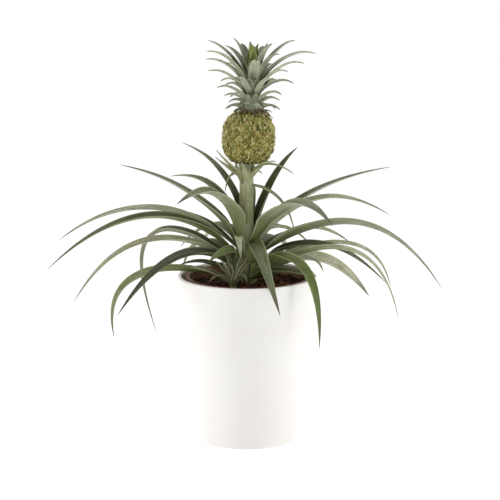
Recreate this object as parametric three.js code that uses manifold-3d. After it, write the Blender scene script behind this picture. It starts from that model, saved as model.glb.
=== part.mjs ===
// An ornamental pineapple plant in its nursery pot, standing in a tall white glazed cover pot.
//
// Millimetres, +Z up. The origin is the centre of the cover pot's flat base, +X points to the right of
// the plant's front, and the front faces -Y. An azimuth is an angle in the XY plane: 0 is right (+X),
// 90 is the back (+Y), 180 is left and 270 is the front.
import * as THREE from "three";
import { mergeVertices } from "three/addons/utils/BufferGeometryUtils.js";
import Module from "manifold-3d";

const wasm = await Module();
wasm.setup();

// ---------------------------------------------------------------- driving dimensions

const GAP = 0.35; // clearance between solids that touch in the real plant

const COVER_POT = {
  rimRadius: 67.5,
  baseRadius: 56,
  height: 160,
  wall: 4,
  floor: 6,
  lip: 1.6, // fillets of the rim's two edges
  foot: 3, // fillet under the outer wall
  corner: 6, // fillet between the inner wall and the floor
};
const NURSERY_POT = {
  rimRadius: 60.5,
  baseRadius: 44,
  top: 159,
  wall: 1.3,
  lipWidth: 2,
  lipHeight: 8,
  shift: 1.5,
};
const SOIL = { edgeHeight: 149.5, moundHeight: 152.5, lump: 1.1 };
const STEM = {
  // [height, radius] from the buried stump up through the leafy stem and the fruit stalk
  profile: [
    [118, 4.5],
    [128, 6],
    [150, 7],
    [166, 8.6],
    [180, 9.4],
    [194, 8.4],
    [204, 6.8],
    [225, 6.5],
    [260, 6.5],
    [269, 8],
  ],
  sides: 20,
};
const FRUIT = {
  bottom: 269.7,
  height: 46.5,
  radius: 22.6,
  flatness: 3.2, // powers that shape the barrel: how straight its sides are,
  roundness: 0.45, // and how round its shoulders are
  shift: 1.2,
  lean: 2,
};
const FRUITLET = {
  around: 13,
  upwards: 7,
  relief: 1.5,
  point: 1.6,
  drift: 0.13, // cells that a column of the net moves round the fruit for each cell that it climbs
};
const CROWN = {
  bottom: FRUIT.bottom + FRUIT.height + GAP,
  shift: 5,
  lean: 1.5,
  baseRadius: 8,
  topRadius: 3,
  coreHeight: 36,
  lowestRoot: 1.2,
  highestRoot: 30,
  sunk: 1.8, // the leaves' roots lie this deep in the core
};
const HEART = {
  azimuths: [225, 330, 95],
  foot: 36.4,
  height: 31,
  rootDistance: 0.4,
  midDistance: 3,
  tipDistance: 5,
  step: 2, // each leaf is this much lower than the one before
  width: 11,
};

const LEAF = {
  segments: 9,
  lowestRoot: 154,
  highestRoot: 199,
  thickness: { root: 1.3, tip: 0.6 },
  fold: 42, // degrees that each half of the channelled blade is turned up, where the channel is deepest
  tipFold: 26,
};

// The rosette's leaves, from the lowest on the stem to the highest. Each row gives the azimuth at which the
// leaf leaves the stem, the point half-way along it as [distance from the stem's axis, height], the tip as
// [azimuth, distance, height], the blade's greatest width, and the degrees that it is twisted. A positive
// twist lifts its edge on the side of larger azimuths.
const LEAVES = [
  [41, [99, 160], [42, 178, 109], 19, -38], // broad, low at the back right
  [204, [112, 167], [206, 137, 110], 9, 52], // low left, its tip hangs
  [326, [43, 166], [333, 76, 165], 14, 10], // short, front right
  [95, [70, 172], [97, 120, 126], 13, 0],
  [20, [58, 172], [19, 81, 156], 9, -36], // short, right
  [186, [42, 172], [186, 67, 170], 8, -10], // short, left
  [338, [106, 190], [338, 153, 129], 9, -32],
  [68, [76, 182], [64, 132, 134], 12, 10],
  [214, [76, 185], [213, 142, 136], 13, -28], // front left, dark
  [12, [102, 186], [10, 146, 141], 8, -30],
  [128, [72, 180], [124, 122, 142], 12, -8],
  [350, [72, 191], [350, 137, 155], 10, 26],
  [82, [66, 190], [84, 128, 154], 13, 5],
  [155, [106, 189], [152, 104, 86], 11, -10], // back left, hangs deep
  [200, [102, 198], [200, 172, 144], 9, -30],
  [318, [73, 172], [321, 88, 98], 12, 22], // front right, hangs over the rim
  [34, [69, 198], [32, 126, 178], 10, -33],
  [236, [28, 188], [230, 57, 180], 13, -30], // short and bright, front left
  [112, [66, 196], [114, 126, 164], 13, 8],
  [349, [110, 212], [350, 189, 152], 15, -16], // long right
  [248, [20, 200], [262, 34, 178], 9, -5], // short and silvery, front
  [190, [98, 218], [190, 193, 170], 13, -16], // long left
  [58, [56, 198], [54, 114, 172], 13, 5],
  [129, [54, 200], [131, 106, 171], 12, -8],
  [21, [66, 234], [19, 153, 259], 11, 6], // long right, rising
  [164, [101, 220], [164, 199, 183], 12, 26], // long left, behind
  [92, [44, 208], [88, 100, 190], 13, 0],
  [290, [36, 188], [290, 91, 138], 15, 20], // front, hangs over the rim
  [356, [70, 234], [355, 138, 220], 10, 19],
  [183, [54, 239], [182, 122, 268], 11, -14], // long left, rising
  [323, [55, 232], [321, 102, 218], 18, 12], // broad and silvery, front right
  [145, [42, 241], [149, 89, 250], 12, -9],
  [84, [34, 232], [88, 78, 240], 12, 8],
  [219, [38, 240], [217, 81, 236], 20, -12], // broad and silvery, front left
  [30, [31, 250], [30, 58, 281], 11, 12], // steep, right
  [138, [28, 252], [140, 85, 283], 9, -12], // steep, back left
];

// The crown's leaves, from the lowest to the highest: [azimuth, tip distance, tip height, how far the
// middle is bowed up above a straight line from root to tip, greatest width], from the crown's own foot.
const CROWN_LEAVES = [
  [345, 28, 4, 5, 7],
  [200, 27, 4, 4, 7],
  [75, 26, 3, 4, 7],
  [300, 22, 4, 5, 7],
  [160, 25, 3, 4, 7],
  [30, 27, 3, 4, 7],
  [235, 23, 4, 5, 7],
  [120, 27, 3, 4, 7],
  [10, 27, 12, 5, 8],
  [170, 23, 9, 4, 8],
  [268, 17, 14, 6, 11],
  [60, 28, 12, 5, 8],
  [330, 32, 19, 6, 8],
  [190, 27, 16, 4, 8],
  [100, 28, 12, 5, 8],
  [205, 37, 24, 6, 8],
  [140, 28, 13, 5, 8],
  [25, 27, 30, 7, 9],
  [165, 28, 24, 8, 9],
  [82, 34, 28, 7, 9],
  [312, 30, 33, 7, 8],
  [236, 30, 33, 7, 8],
  [350, 40, 29, 8, 9],
  [118, 34, 28, 7, 9],
  [272, 18, 29, 8, 12],
  [45, 36, 28, 7, 9],
  [188, 43, 39, 7, 9],
  [150, 36, 28, 7, 9],
  [20, 36, 39, 8, 9],
  [355, 49, 48, 10, 9],
  [98, 42, 44, 8, 9],
  [172, 46, 49, 9, 9],
  [280, 21, 50, 8, 12],
  [60, 44, 44, 8, 9],
  [192, 45, 57, 10, 10],
  [130, 44, 44, 8, 9],
  [5, 60, 57, 12, 10],
  [335, 27, 56, 9, 9],
  [75, 40, 62, 8, 9],
  [182, 43, 67, 8, 10],
  [110, 36, 64, 8, 9],
  [18, 42, 69, 9, 9],
  [140, 36, 62, 7, 9],
  [330, 20, 66, 6, 12],
  [165, 20, 70, 6, 8],
  [25, 15, 66, 4, 8],
];

// Leaves of the fruit stalk, fused to it: [azimuth, root height, [mid distance, mid height],
// [tip azimuth, tip distance, tip height], width].
const STALK_LEAVES = [
  [268, 204, [9, 234], [262, 10.6, 262], 9], // clasps the stalk's front
  [342, 248, [33, 235], [344, 48, 204], 6], // hangs behind the broad right leaf
  [236, 257, [27, 269], [232, 46, 286], 5],
  [186, 258, [15, 257], [184, 21, 241], 5],
  [352, 262, [24, 268], [352, 46, 259], 5],
  [322, 260, [22, 270], [322, 35, 273], 5],
  [95, 228, [20, 244], [100, 36, 236], 6],
  [116, 246, [18, 256], [112, 38, 252], 6],
  [62, 250, [18, 258], [66, 38, 254], 6],
];

// The small offset shoot in front of the stem: its foot, and its leaves as
// [azimuth, [mid distance, mid height], [tip azimuth, tip distance, tip height], width],
// with distances from the shoot's own axis and heights above the soil.
const SHOOT = {
  x: -13,
  y: -26,
  radius: 3.6,
  footRadius: 2.9,
  topRadius: 2.5,
  foot: 140,
  top: 158,
  ground: 151,
};
const SHOOT_LEAVES = [
  [330, [9, 14], [322, 18, 8], 6],
  [206, [13, 14], [212, 27, 9], 6],
  [182, [20, 18], [183, 43, 22], 6],
  [194, [22, 17], [192, 46, 24], 6],
  [212, [7, 19], [214, 14, 31], 6],
  [176, [9, 18], [182, 17, 28], 5],
  [20, [8, 19], [20, 15, 31], 6],
  [80, [5, 18], [80, 14, 29], 6],
];

// ---------------------------------------------------------------- helpers

const radians = THREE.MathUtils.degToRad;
const lerp = THREE.MathUtils.lerp;

// The point at a distance from the Z axis, on an azimuth, at a height.
function polar(azimuth, distance, height) {
  const a = radians(azimuth);
  return new THREE.Vector3(distance * Math.cos(a), distance * Math.sin(a), height);
}

// A profile of [radius, height] pairs turned about the Z axis.
function turned(profile, sides) {
  const points = profile.map(([radius, height]) => new THREE.Vector2(radius, height));
  return new THREE.LatheGeometry(points, sides).rotateX(Math.PI / 2);
}

// A closed geometry as a manifold-3d solid.
function solidOf(geometry) {
  const bare = geometry.index ? geometry.toNonIndexed() : geometry.clone();
  bare.deleteAttribute("normal");
  bare.deleteAttribute("uv");
  const merged = mergeVertices(bare, 1e-4);
  return new wasm.Manifold(
    new wasm.Mesh({
      numProp: 3,
      vertProperties: merged.attributes.position.array,
      triVerts: new Uint32Array(merged.index.array),
    }),
  );
}

// A manifold-3d solid as a geometry.
function geometryOf(solid) {
  const mesh = solid.getMesh();
  const geometry = new THREE.BufferGeometry();
  geometry.setAttribute("position", new THREE.BufferAttribute(new Float32Array(mesh.vertProperties), 3));
  geometry.setIndex(new THREE.BufferAttribute(new Uint32Array(mesh.triVerts), 1));
  return geometry;
}

// Several closed geometries joined into one.
function fused(geometries) {
  const solids = geometries.map(solidOf);
  return geometryOf(solids.reduce((all, next) => all.add(next)));
}

function material(color, roughness) {
  return new THREE.MeshStandardMaterial({ color, roughness, metalness: 0 });
}

function named(name, geometry, finish) {
  const mesh = new THREE.Mesh(geometry, finish);
  mesh.name = name;
  return mesh;
}

// ---------------------------------------------------------------- blades

// The spine of a leaf: a parabola from root to tip that passes through the mid point half-way.
function spineThrough(root, mid, tip) {
  const control = mid.clone().multiplyScalar(2).addScaledVector(root, -0.5).addScaledVector(tip, -0.5);
  return new THREE.QuadraticBezierCurve3(root, control, tip);
}

// How a blade's width runs: it grows from a share of the full width at the root to all of it at a share of
// the length, and a higher power gives a blunter point. A twist builds up between two shares of the length.
const TAPER = { root: 0.6, full: 0.35, power: 2.6 };
const TWIST = { from: 0.05, to: 0.5 };

// The share of its greatest width that a blade has at t, from root (0) to tip (1).
function bladeTaper(t) {
  const waist = lerp(TAPER.root, 1, THREE.MathUtils.smoothstep(t, 0, TAPER.full));
  return waist * (1 - Math.pow(t, TAPER.power));
}

// The degrees that each half of a blade is turned up at t: its channel is deepest near the root, and flatter
// towards the tip.
function foldAt(t, rootFold, deepFold, tipFold) {
  const DEEPEST = 0.2; // share of the length at which the channel is deepest
  if (t < DEEPEST) return lerp(rootFold, deepFold, t / DEEPEST);
  return lerp(deepFold, tipFold, (t - DEEPEST) / (1 - DEEPEST));
}

// A channelled blade along a spine, as one closed solid. Each ring has three points on the upper face and
// three below them, and the last ring is the tip's single point. side(t) is the azimuth that it heads for.
function blade(options) {
  const { spine, side, width, thickness, segments, fold } = options;
  const { rootFold = fold, tipFold = fold, twist = 0 } = options;
  const points = [];
  for (let i = 0; i < segments; i += 1) {
    const t = i / segments;
    const centre = spine.getPoint(t);
    const along = spine.getTangent(t);
    const heading = radians(side(t));
    const across = new THREE.Vector3(-Math.sin(heading), Math.cos(heading), 0);
    across.addScaledVector(along, -across.dot(along)).normalize();
    const turn = twist * THREE.MathUtils.smoothstep(t, TWIST.from, TWIST.to);
    across.applyAxisAngle(along, radians(turn));
    const up = along.clone().cross(across);
    const half = (width / 2) * bladeTaper(t);
    const angle = radians(foldAt(t, rootFold, fold, tipFold));
    const rise = half * Math.tan(angle);
    const drop = lerp(thickness.root, thickness.tip, t) / Math.cos(angle);
    const left = centre.clone().addScaledVector(across, half).addScaledVector(up, rise);
    const right = centre.clone().addScaledVector(across, -half).addScaledVector(up, rise);
    const upper = [left, centre, right];
    const lower = upper.map((p) => p.clone().addScaledVector(up, -drop)).reverse();
    points.push(...upper, ...lower);
  }
  const tip = points.push(spine.getPoint(1)) - 1;

  const faces = [];
  const RING = 6;
  for (let i = 0; i + 1 < segments; i += 1) {
    for (let k = 0; k < RING; k += 1) {
      const a = i * RING + k;
      const b = i * RING + ((k + 1) % RING);
      const c = b + RING;
      const d = a + RING;
      const lowerFace = k === 3 || k === 4; // split like the upper face above it
      faces.push(...(lowerFace ? [a, b, d, b, c, d] : [a, b, c, a, c, d]));
    }
  }
  for (let k = 0; k < RING; k += 1) {
    const last = (segments - 1) * RING;
    faces.push(last + k, last + ((k + 1) % RING), tip);
  }
  faces.push(0, 5, 4, 0, 4, 1, 1, 4, 3, 1, 3, 2);

  const geometry = new THREE.BufferGeometry().setFromPoints(points);
  geometry.setIndex(faces);
  return geometry;
}

// ---------------------------------------------------------------- pots and soil

function coverPot() {
  const { rimRadius, baseRadius, height, wall, floor, lip, foot, corner } = COVER_POT;
  const BELLY = 0.3; // a fillet's middle stands this share of its size away from both faces
  const slope = (rimRadius - baseRadius) / height;
  const outer = (z) => baseRadius + slope * z;
  const profile = [
    [0, 0],
    [baseRadius - foot, 0],
    [outer(foot * BELLY) - foot * BELLY, foot * BELLY],
    [outer(foot), foot],
    [outer(height - lip), height - lip],
    [rimRadius - lip * BELLY, height - lip * BELLY],
    [rimRadius - wall / 2, height],
    [rimRadius - wall + lip * BELLY, height - lip * BELLY],
    [outer(height - lip) - wall, height - lip],
    [outer(floor + corner) - wall, floor + corner],
    [outer(floor) - wall - corner, floor],
    [0, floor],
  ];
  return named("cover_pot", turned(profile, 56), material(0xf4f1ec, 0.2));
}

// The nursery pot's outer radius at a height, below its lip.
function nurseryRadius(z) {
  const { rimRadius, baseRadius, top, lipWidth } = NURSERY_POT;
  const bottom = COVER_POT.floor + GAP;
  return lerp(baseRadius, rimRadius - lipWidth, (z - bottom) / (top - bottom));
}

function nurseryPot() {
  const { rimRadius, top, wall, lipWidth, lipHeight, shift } = NURSERY_POT;
  const bottom = COVER_POT.floor + GAP;
  const lipFoot = top - lipHeight;
  const profile = [
    [0, bottom],
    [nurseryRadius(bottom), bottom],
    [nurseryRadius(lipFoot), lipFoot],
    [nurseryRadius(lipFoot) + lipWidth, lipFoot],
    [rimRadius, top],
    [rimRadius - lipWidth - wall, top],
    [nurseryRadius(bottom + wall) - wall, bottom + wall],
    [0, bottom + wall],
  ];
  const mesh = named("nursery_pot", turned(profile, 40), material(0x6a4a3c, 0.6));
  mesh.position.x = shift;
  return mesh;
}

// Heights of the soil's top: a low mound with lumps that repeat around it.
function soilHeight(x, y) {
  const distance = Math.hypot(x, y) / NURSERY_POT.rimRadius;
  const lumps = Math.sin(x * 0.31 + 1) * Math.cos(y * 0.27) + 0.6 * Math.sin(x * 0.13 - y * 0.44);
  return lerp(SOIL.moundHeight, SOIL.edgeHeight, distance) + SOIL.lump * lumps;
}

// A plain round hole down into the soil, from well above its surface to its floor at the height given.
function soilHole(x, y, radius, floor, sides) {
  const ABOVE = 20;
  const open = SOIL.moundHeight + ABOVE;
  const profile = [
    [0, floor],
    [radius, floor],
    [radius, open],
    [0, open],
  ];
  return solidOf(turned(profile, sides).translate(x, y, 0));
}

// Peat that fills the nursery pot, with a plain hole for the stem and one for the offset shoot.
function soil() {
  const { wall, shift } = NURSERY_POT;
  const RINGS = 9;
  const bottom = COVER_POT.floor + GAP + wall + GAP;
  const inner = (z) => nurseryRadius(z) - wall - GAP;
  const top = Array.from({ length: RINGS + 1 }, (_, i) => [
    inner(SOIL.edgeHeight) * (1 - i / RINGS),
    SOIL.moundHeight,
  ]);
  const geometry = turned([[0, bottom], [inner(bottom), bottom], ...top], 36);
  const position = geometry.attributes.position;
  for (let i = 0; i < position.count; i += 1) {
    if (position.getZ(i) < SOIL.edgeHeight) continue;
    position.setZ(i, soilHeight(position.getX(i), position.getY(i)));
  }
  const stemRoom = STEM.profile[2][1] + GAP;
  const filled = solidOf(geometry)
    .subtract(soilHole(-shift, 0, stemRoom, STEM.profile[0][0] - GAP, STEM.sides))
    .subtract(soilHole(SHOOT.x - shift, SHOOT.y, SHOOT.radius + GAP, SHOOT.foot - GAP, 10));
  const mesh = named("soil", geometryOf(filled), material(0x3a251c, 0.95));
  mesh.position.x = shift;
  return mesh;
}

// ---------------------------------------------------------------- stem, leaves and offset shoot

// The stem's radius at a height.
function stemRadius(z) {
  const { profile } = STEM;
  const above = profile.findIndex(([height]) => height >= z);
  const [z0, r0] = profile[above - 1];
  const [z1, r1] = profile[above];
  return lerp(r0, r1, (z - z0) / (z1 - z0));
}

function stem() {
  const { profile, sides } = STEM;
  const outline = profile.map(([height, radius]) => [radius, height]);
  const trunk = turned([[0, profile[0][0]], ...outline, [0, profile.at(-1)[0]]], sides);
  const SUNK = 2; // the bracts' roots lie this deep in the stalk
  const bracts = STALK_LEAVES.map(([azimuth, rootHeight, mid, [tipAzimuth, ...tip], width]) => {
    const root = polar(azimuth, stemRadius(rootHeight) - SUNK, rootHeight);
    return blade({
      spine: spineThrough(root, polar(azimuth, ...mid), polar(tipAzimuth, ...tip)),
      side: (t) => lerp(azimuth, tipAzimuth, t),
      width,
      segments: 6,
      thickness: { root: 1, tip: 0.6 },
      fold: 28,
    });
  });
  return named("stem", fused([trunk, ...bracts]), material(0x8a9374, 0.6));
}

function rosetteLeaf(index) {
  const [azimuth, mid, [tipAzimuth, ...tip], width, twist] = LEAVES[index];
  const rootHeight = lerp(LEAF.lowestRoot, LEAF.highestRoot, index / (LEAVES.length - 1));
  // The two halves of the root lie on the stem as chords, with their middles GAP clear of it.
  const seat = stemRadius(rootHeight) + GAP;
  const chord = Math.asin((width * bladeTaper(0)) / 4 / seat);
  const root = polar(azimuth, seat / Math.cos(chord), rootHeight);
  const geometry = blade({
    spine: spineThrough(root, polar(azimuth, ...mid), polar(tipAzimuth, ...tip)),
    side: (t) => lerp(azimuth, tipAzimuth, t),
    width,
    segments: LEAF.segments,
    thickness: LEAF.thickness,
    fold: LEAF.fold,
    tipFold: LEAF.tipFold,
    rootFold: THREE.MathUtils.radToDeg(chord),
    twist,
  });
  return named(`leaf_${String(index + 1).padStart(2, "0")}`, geometry, material(0x6f7f5c, 0.5));
}

function offsetShoot() {
  const { x, y, radius, footRadius, topRadius, foot, top, ground } = SHOOT;
  const ROOT_DISTANCE = 1.4; // the leaves' roots lie this far from the shoot's axis
  const ROOT_MARGIN = 1; // and this far inside the part of it that is above the ground
  const base = turned(
    [
      [0, foot],
      [footRadius, foot],
      [radius, ground],
      [topRadius, top],
      [0, top],
    ],
    8,
  );
  const leaves = SHOOT_LEAVES.map(([azimuth, mid, [tipAzimuth, ...tip], width], i) => {
    const rootHeight = lerp(ground + ROOT_MARGIN, top - ROOT_MARGIN, i / (SHOOT_LEAVES.length - 1));
    const above = ([distance, height]) => [distance, ground + height];
    return blade({
      spine: spineThrough(
        polar(azimuth, ROOT_DISTANCE, rootHeight),
        polar(azimuth, ...above(mid)),
        polar(tipAzimuth, ...above(tip)),
      ),
      side: (t) => lerp(azimuth, tipAzimuth, t),
      width,
      segments: 7,
      thickness: { root: 0.9, tip: 0.6 },
      fold: 30,
    });
  });
  const mesh = named("offset_shoot", fused([base, ...leaves]), material(0x7e8c64, 0.5));
  mesh.position.set(x, y, 0);
  return mesh;
}

// ---------------------------------------------------------------- fruit

// The fruit's radius in the grooves between the fruitlets, at a share of its height: a barrel.
function fruitRadius(share) {
  const off = Math.min(1, Math.abs(2 * share - 1));
  return FRUIT.radius * Math.pow(1 - Math.pow(off, FRUIT.flatness), FRUIT.roundness);
}

// Shares of the fruit's height that lie evenly along the curve of its side.
function evenShares(count) {
  const STEPS = 2000;
  const lengths = [0];
  for (let i = 0; i < STEPS; i += 1) {
    const bulge = fruitRadius((i + 1) / STEPS) - fruitRadius(i / STEPS);
    lengths.push(lengths.at(-1) + Math.hypot(bulge, FRUIT.height / STEPS));
  }
  const place = (k) => lengths.findIndex((length) => length >= (k / count) * lengths.at(-1)) / STEPS;
  return Array.from({ length: count + 1 }, (_, k) => place(k));
}

// How far a fruitlet stands out at a place in the diamond net that covers the fruit, where u counts cells
// around it and v counts cells up it: nothing in the grooves, a dome inside, and a point in the middle.
function fruitletRelief(u, v) {
  const POINTED = 0.1; // share of a cell that its point takes up
  const offCentre = (x) => Math.abs(x - Math.round(x)) * 2;
  const away = Math.max(offCentre(u + v), offCentre(u - v));
  const dome = FRUITLET.relief * Math.sqrt(Math.max(0, 1 - away * away));
  return away < POINTED ? dome + FRUITLET.point : dome;
}

// A barrel covered with pointed fruitlets, as one grid of points between its two ends.
function fruit() {
  const { bottom, height, shift, lean } = FRUIT;
  const { around, upwards, drift } = FRUITLET;
  const STEPS = 4; // grid steps for each cell of the net
  const SEAT_SHARE = 0.11; // both ends of the curve are bare this far, where the stalk and the crown sit
  const FADE_SHARE = 0.08; // and the net grows to its full depth over this much more
  const NUDGE = 0.002; // share of the height over which the barrel's slope is measured
  const columns = around * STEPS;
  const rows = upwards * STEPS;
  const shares = evenShares(rows);
  const points = [new THREE.Vector3(0, 0, 0)];
  for (let row = 1; row < rows; row += 1) {
    const share = shares[row];
    const slope = (fruitRadius(share + NUDGE) - fruitRadius(share - NUDGE)) / (2 * NUDGE * height);
    const tilt = Math.atan(slope); // how far the outward normal points down
    const fromEnd = Math.min(row, rows - row) / rows;
    const fade = THREE.MathUtils.clamp((fromEnd - SEAT_SHARE) / FADE_SHARE, 0, 1);
    for (let column = 0; column < columns; column += 1) {
      const u = column / STEPS;
      const out = fade * fruitletRelief(u, row / STEPS);
      const azimuth = (360 * (u + drift * (row / STEPS))) / around;
      const radius = fruitRadius(share) + out * Math.cos(tilt);
      points.push(polar(azimuth, radius, share * height - out * Math.sin(tilt)));
    }
  }
  const top = points.push(new THREE.Vector3(0, 0, height)) - 1;

  const at = (row, column) => 1 + (row - 1) * columns + (column % columns);
  const faces = [];
  for (let column = 0; column < columns; column += 1) {
    faces.push(0, at(1, column + 1), at(1, column));
    for (let row = 1; row + 1 < rows; row += 1) {
      const [a, b] = [at(row, column), at(row, column + 1)];
      const [c, d] = [at(row + 1, column + 1), at(row + 1, column)];
      const rising = (row + column) % 2 === 0;
      faces.push(...(rising ? [a, b, c, a, c, d] : [a, b, d, b, c, d]));
    }
    faces.push(at(rows - 1, column), at(rows - 1, column + 1), top);
  }
  const geometry = new THREE.BufferGeometry().setFromPoints(points);
  geometry.setIndex(faces);
  const mesh = named("fruit", geometry, material(0x8d8a4c, 0.6));
  mesh.position.set(shift, 0, bottom);
  mesh.rotation.y = radians(lean);
  return mesh;
}

// ---------------------------------------------------------------- crown

function crownLeaf(index) {
  const [azimuth, distance, height, bow, width] = CROWN_LEAVES[index];
  const { baseRadius, topRadius, coreHeight, lowestRoot, highestRoot, sunk } = CROWN;
  const rootHeight = lerp(lowestRoot, highestRoot, index / (CROWN_LEAVES.length - 1));
  const coreHere = lerp(baseRadius, topRadius, rootHeight / coreHeight);
  const root = polar(azimuth, coreHere - sunk, rootHeight);
  const tip = polar(azimuth, distance, height);
  const mid = root.clone().lerp(tip, 0.5);
  mid.z += bow;
  return blade({
    spine: spineThrough(root, mid, tip),
    side: () => azimuth,
    width,
    segments: 4,
    thickness: { root: 0.9, tip: 0.6 },
    fold: 26,
  });
}

function crown() {
  const { bottom, shift, lean, baseRadius, topRadius, coreHeight } = CROWN;
  const core = turned(
    [
      [0, 0],
      [baseRadius, 0],
      [topRadius, coreHeight],
      [0, coreHeight],
    ],
    12,
  );
  const blades = CROWN_LEAVES.map((_, index) => crownLeaf(index));
  const mesh = named("crown", fused([core, ...blades]), material(0x87917c, 0.55));
  mesh.position.set(shift, 0, bottom);
  mesh.rotation.y = radians(lean);
  return mesh;
}

// The young bright leaves that stand upright in the middle of the crown.
function crownHeart() {
  const { azimuths, foot, height, rootDistance, midDistance, tipDistance, step, width } = HEART;
  const leaves = azimuths.map((azimuth, i) =>
    blade({
      spine: spineThrough(
        polar(azimuth, rootDistance, foot),
        polar(azimuth, midDistance, foot + height / 2),
        polar(azimuth, tipDistance, foot + height - step * i),
      ),
      side: () => azimuth,
      width,
      segments: 5,
      thickness: { root: 1.4, tip: 0.6 },
      fold: 30,
    }),
  );
  const mesh = named("crown_heart", fused(leaves), material(0x6c7a2a, 0.5));
  mesh.position.set(CROWN.shift, 0, CROWN.bottom);
  mesh.rotation.y = radians(CROWN.lean);
  return mesh;
}

// ---------------------------------------------------------------- the whole plant

const plant = new THREE.Group();
plant.add(coverPot(), nurseryPot(), soil(), stem(), offsetShoot(), fruit(), crown(), crownHeart());
LEAVES.forEach((_, index) => plant.add(rosetteLeaf(index)));

export default plant;
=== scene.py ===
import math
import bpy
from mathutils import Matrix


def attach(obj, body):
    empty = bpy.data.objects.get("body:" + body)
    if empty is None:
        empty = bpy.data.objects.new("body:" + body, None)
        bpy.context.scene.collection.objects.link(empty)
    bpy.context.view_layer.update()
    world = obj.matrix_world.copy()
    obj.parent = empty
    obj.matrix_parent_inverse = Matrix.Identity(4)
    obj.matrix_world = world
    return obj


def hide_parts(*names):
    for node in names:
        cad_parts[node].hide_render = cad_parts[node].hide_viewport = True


# An ornamental pineapple plant in its nursery pot, standing in a tall white glazed cover pot.
#
# Lengths in the tables are millimetres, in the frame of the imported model: the origin is the centre of the
# cover pot's flat base, +X points to the right of the plant's front, the front faces -Y, and +Z is up. An
# azimuth is an angle in the XY plane: 0 is right, 90 is the back, 180 is left and 270 is the front.

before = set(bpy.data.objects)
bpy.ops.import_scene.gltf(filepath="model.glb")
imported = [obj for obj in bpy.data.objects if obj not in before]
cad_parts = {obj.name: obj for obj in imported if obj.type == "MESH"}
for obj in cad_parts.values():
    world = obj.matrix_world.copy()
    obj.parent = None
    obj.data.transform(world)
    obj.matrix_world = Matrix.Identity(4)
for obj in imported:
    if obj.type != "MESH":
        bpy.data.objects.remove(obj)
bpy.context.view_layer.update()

from types import SimpleNamespace as Sizes

import bpy
import numpy as np
from mathutils import Vector, noise

MM = 0.001  # metres in a millimetre
RNG = np.random.default_rng(11)

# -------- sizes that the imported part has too

GAP = 0.35
COVER_POT = Sizes(rim_radius=67.5, base_radius=56, height=160, wall=4, floor=6)
NURSERY_POT = Sizes(rim_radius=60.5, base_radius=44, top=159, wall=1.3, lip_width=2, lip_height=8)
NURSERY_SHIFT = (1.5, 0, 0)  # its axis stands a little to the right
SOIL = Sizes(edge_height=149.5, mound_height=152.5, lump=1.1)
STEM_PROFILE = [
    # (height, radius) from the buried stump up through the leafy stem and the fruit stalk
    (118, 4.5), (128, 6), (150, 7), (166, 8.6), (180, 9.4),
    (194, 8.4), (204, 6.8), (225, 6.5), (260, 6.5), (269, 8),
]
FRUIT = Sizes(bottom=269.7, height=46.5, radius=22.6, flatness=3.2, roundness=0.45, shift=1.2, lean=2)
CROWN = Sizes(bottom=316.55, shift=5, lean=1.5, base_radius=8, top_radius=3, core_height=36)
CROWN_ROOTS = Sizes(lowest=1.2, below_top=6, depth=1.8)  # heights on the crown's core, and depth in it
HEART = Sizes(azimuths=(225, 330, 95), foot=36.4, height=31, root_distance=0.4, mid_distance=3)
HEART_TIPS = Sizes(distance=5, step=2)  # step is how much lower each next leaf ends
HEART_WIDTH = 14.5  # 11 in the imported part, whose solids must not touch
LEAF_ROOTS = (154, 199)  # heights on the stem of the lowest and the highest leaf

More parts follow.
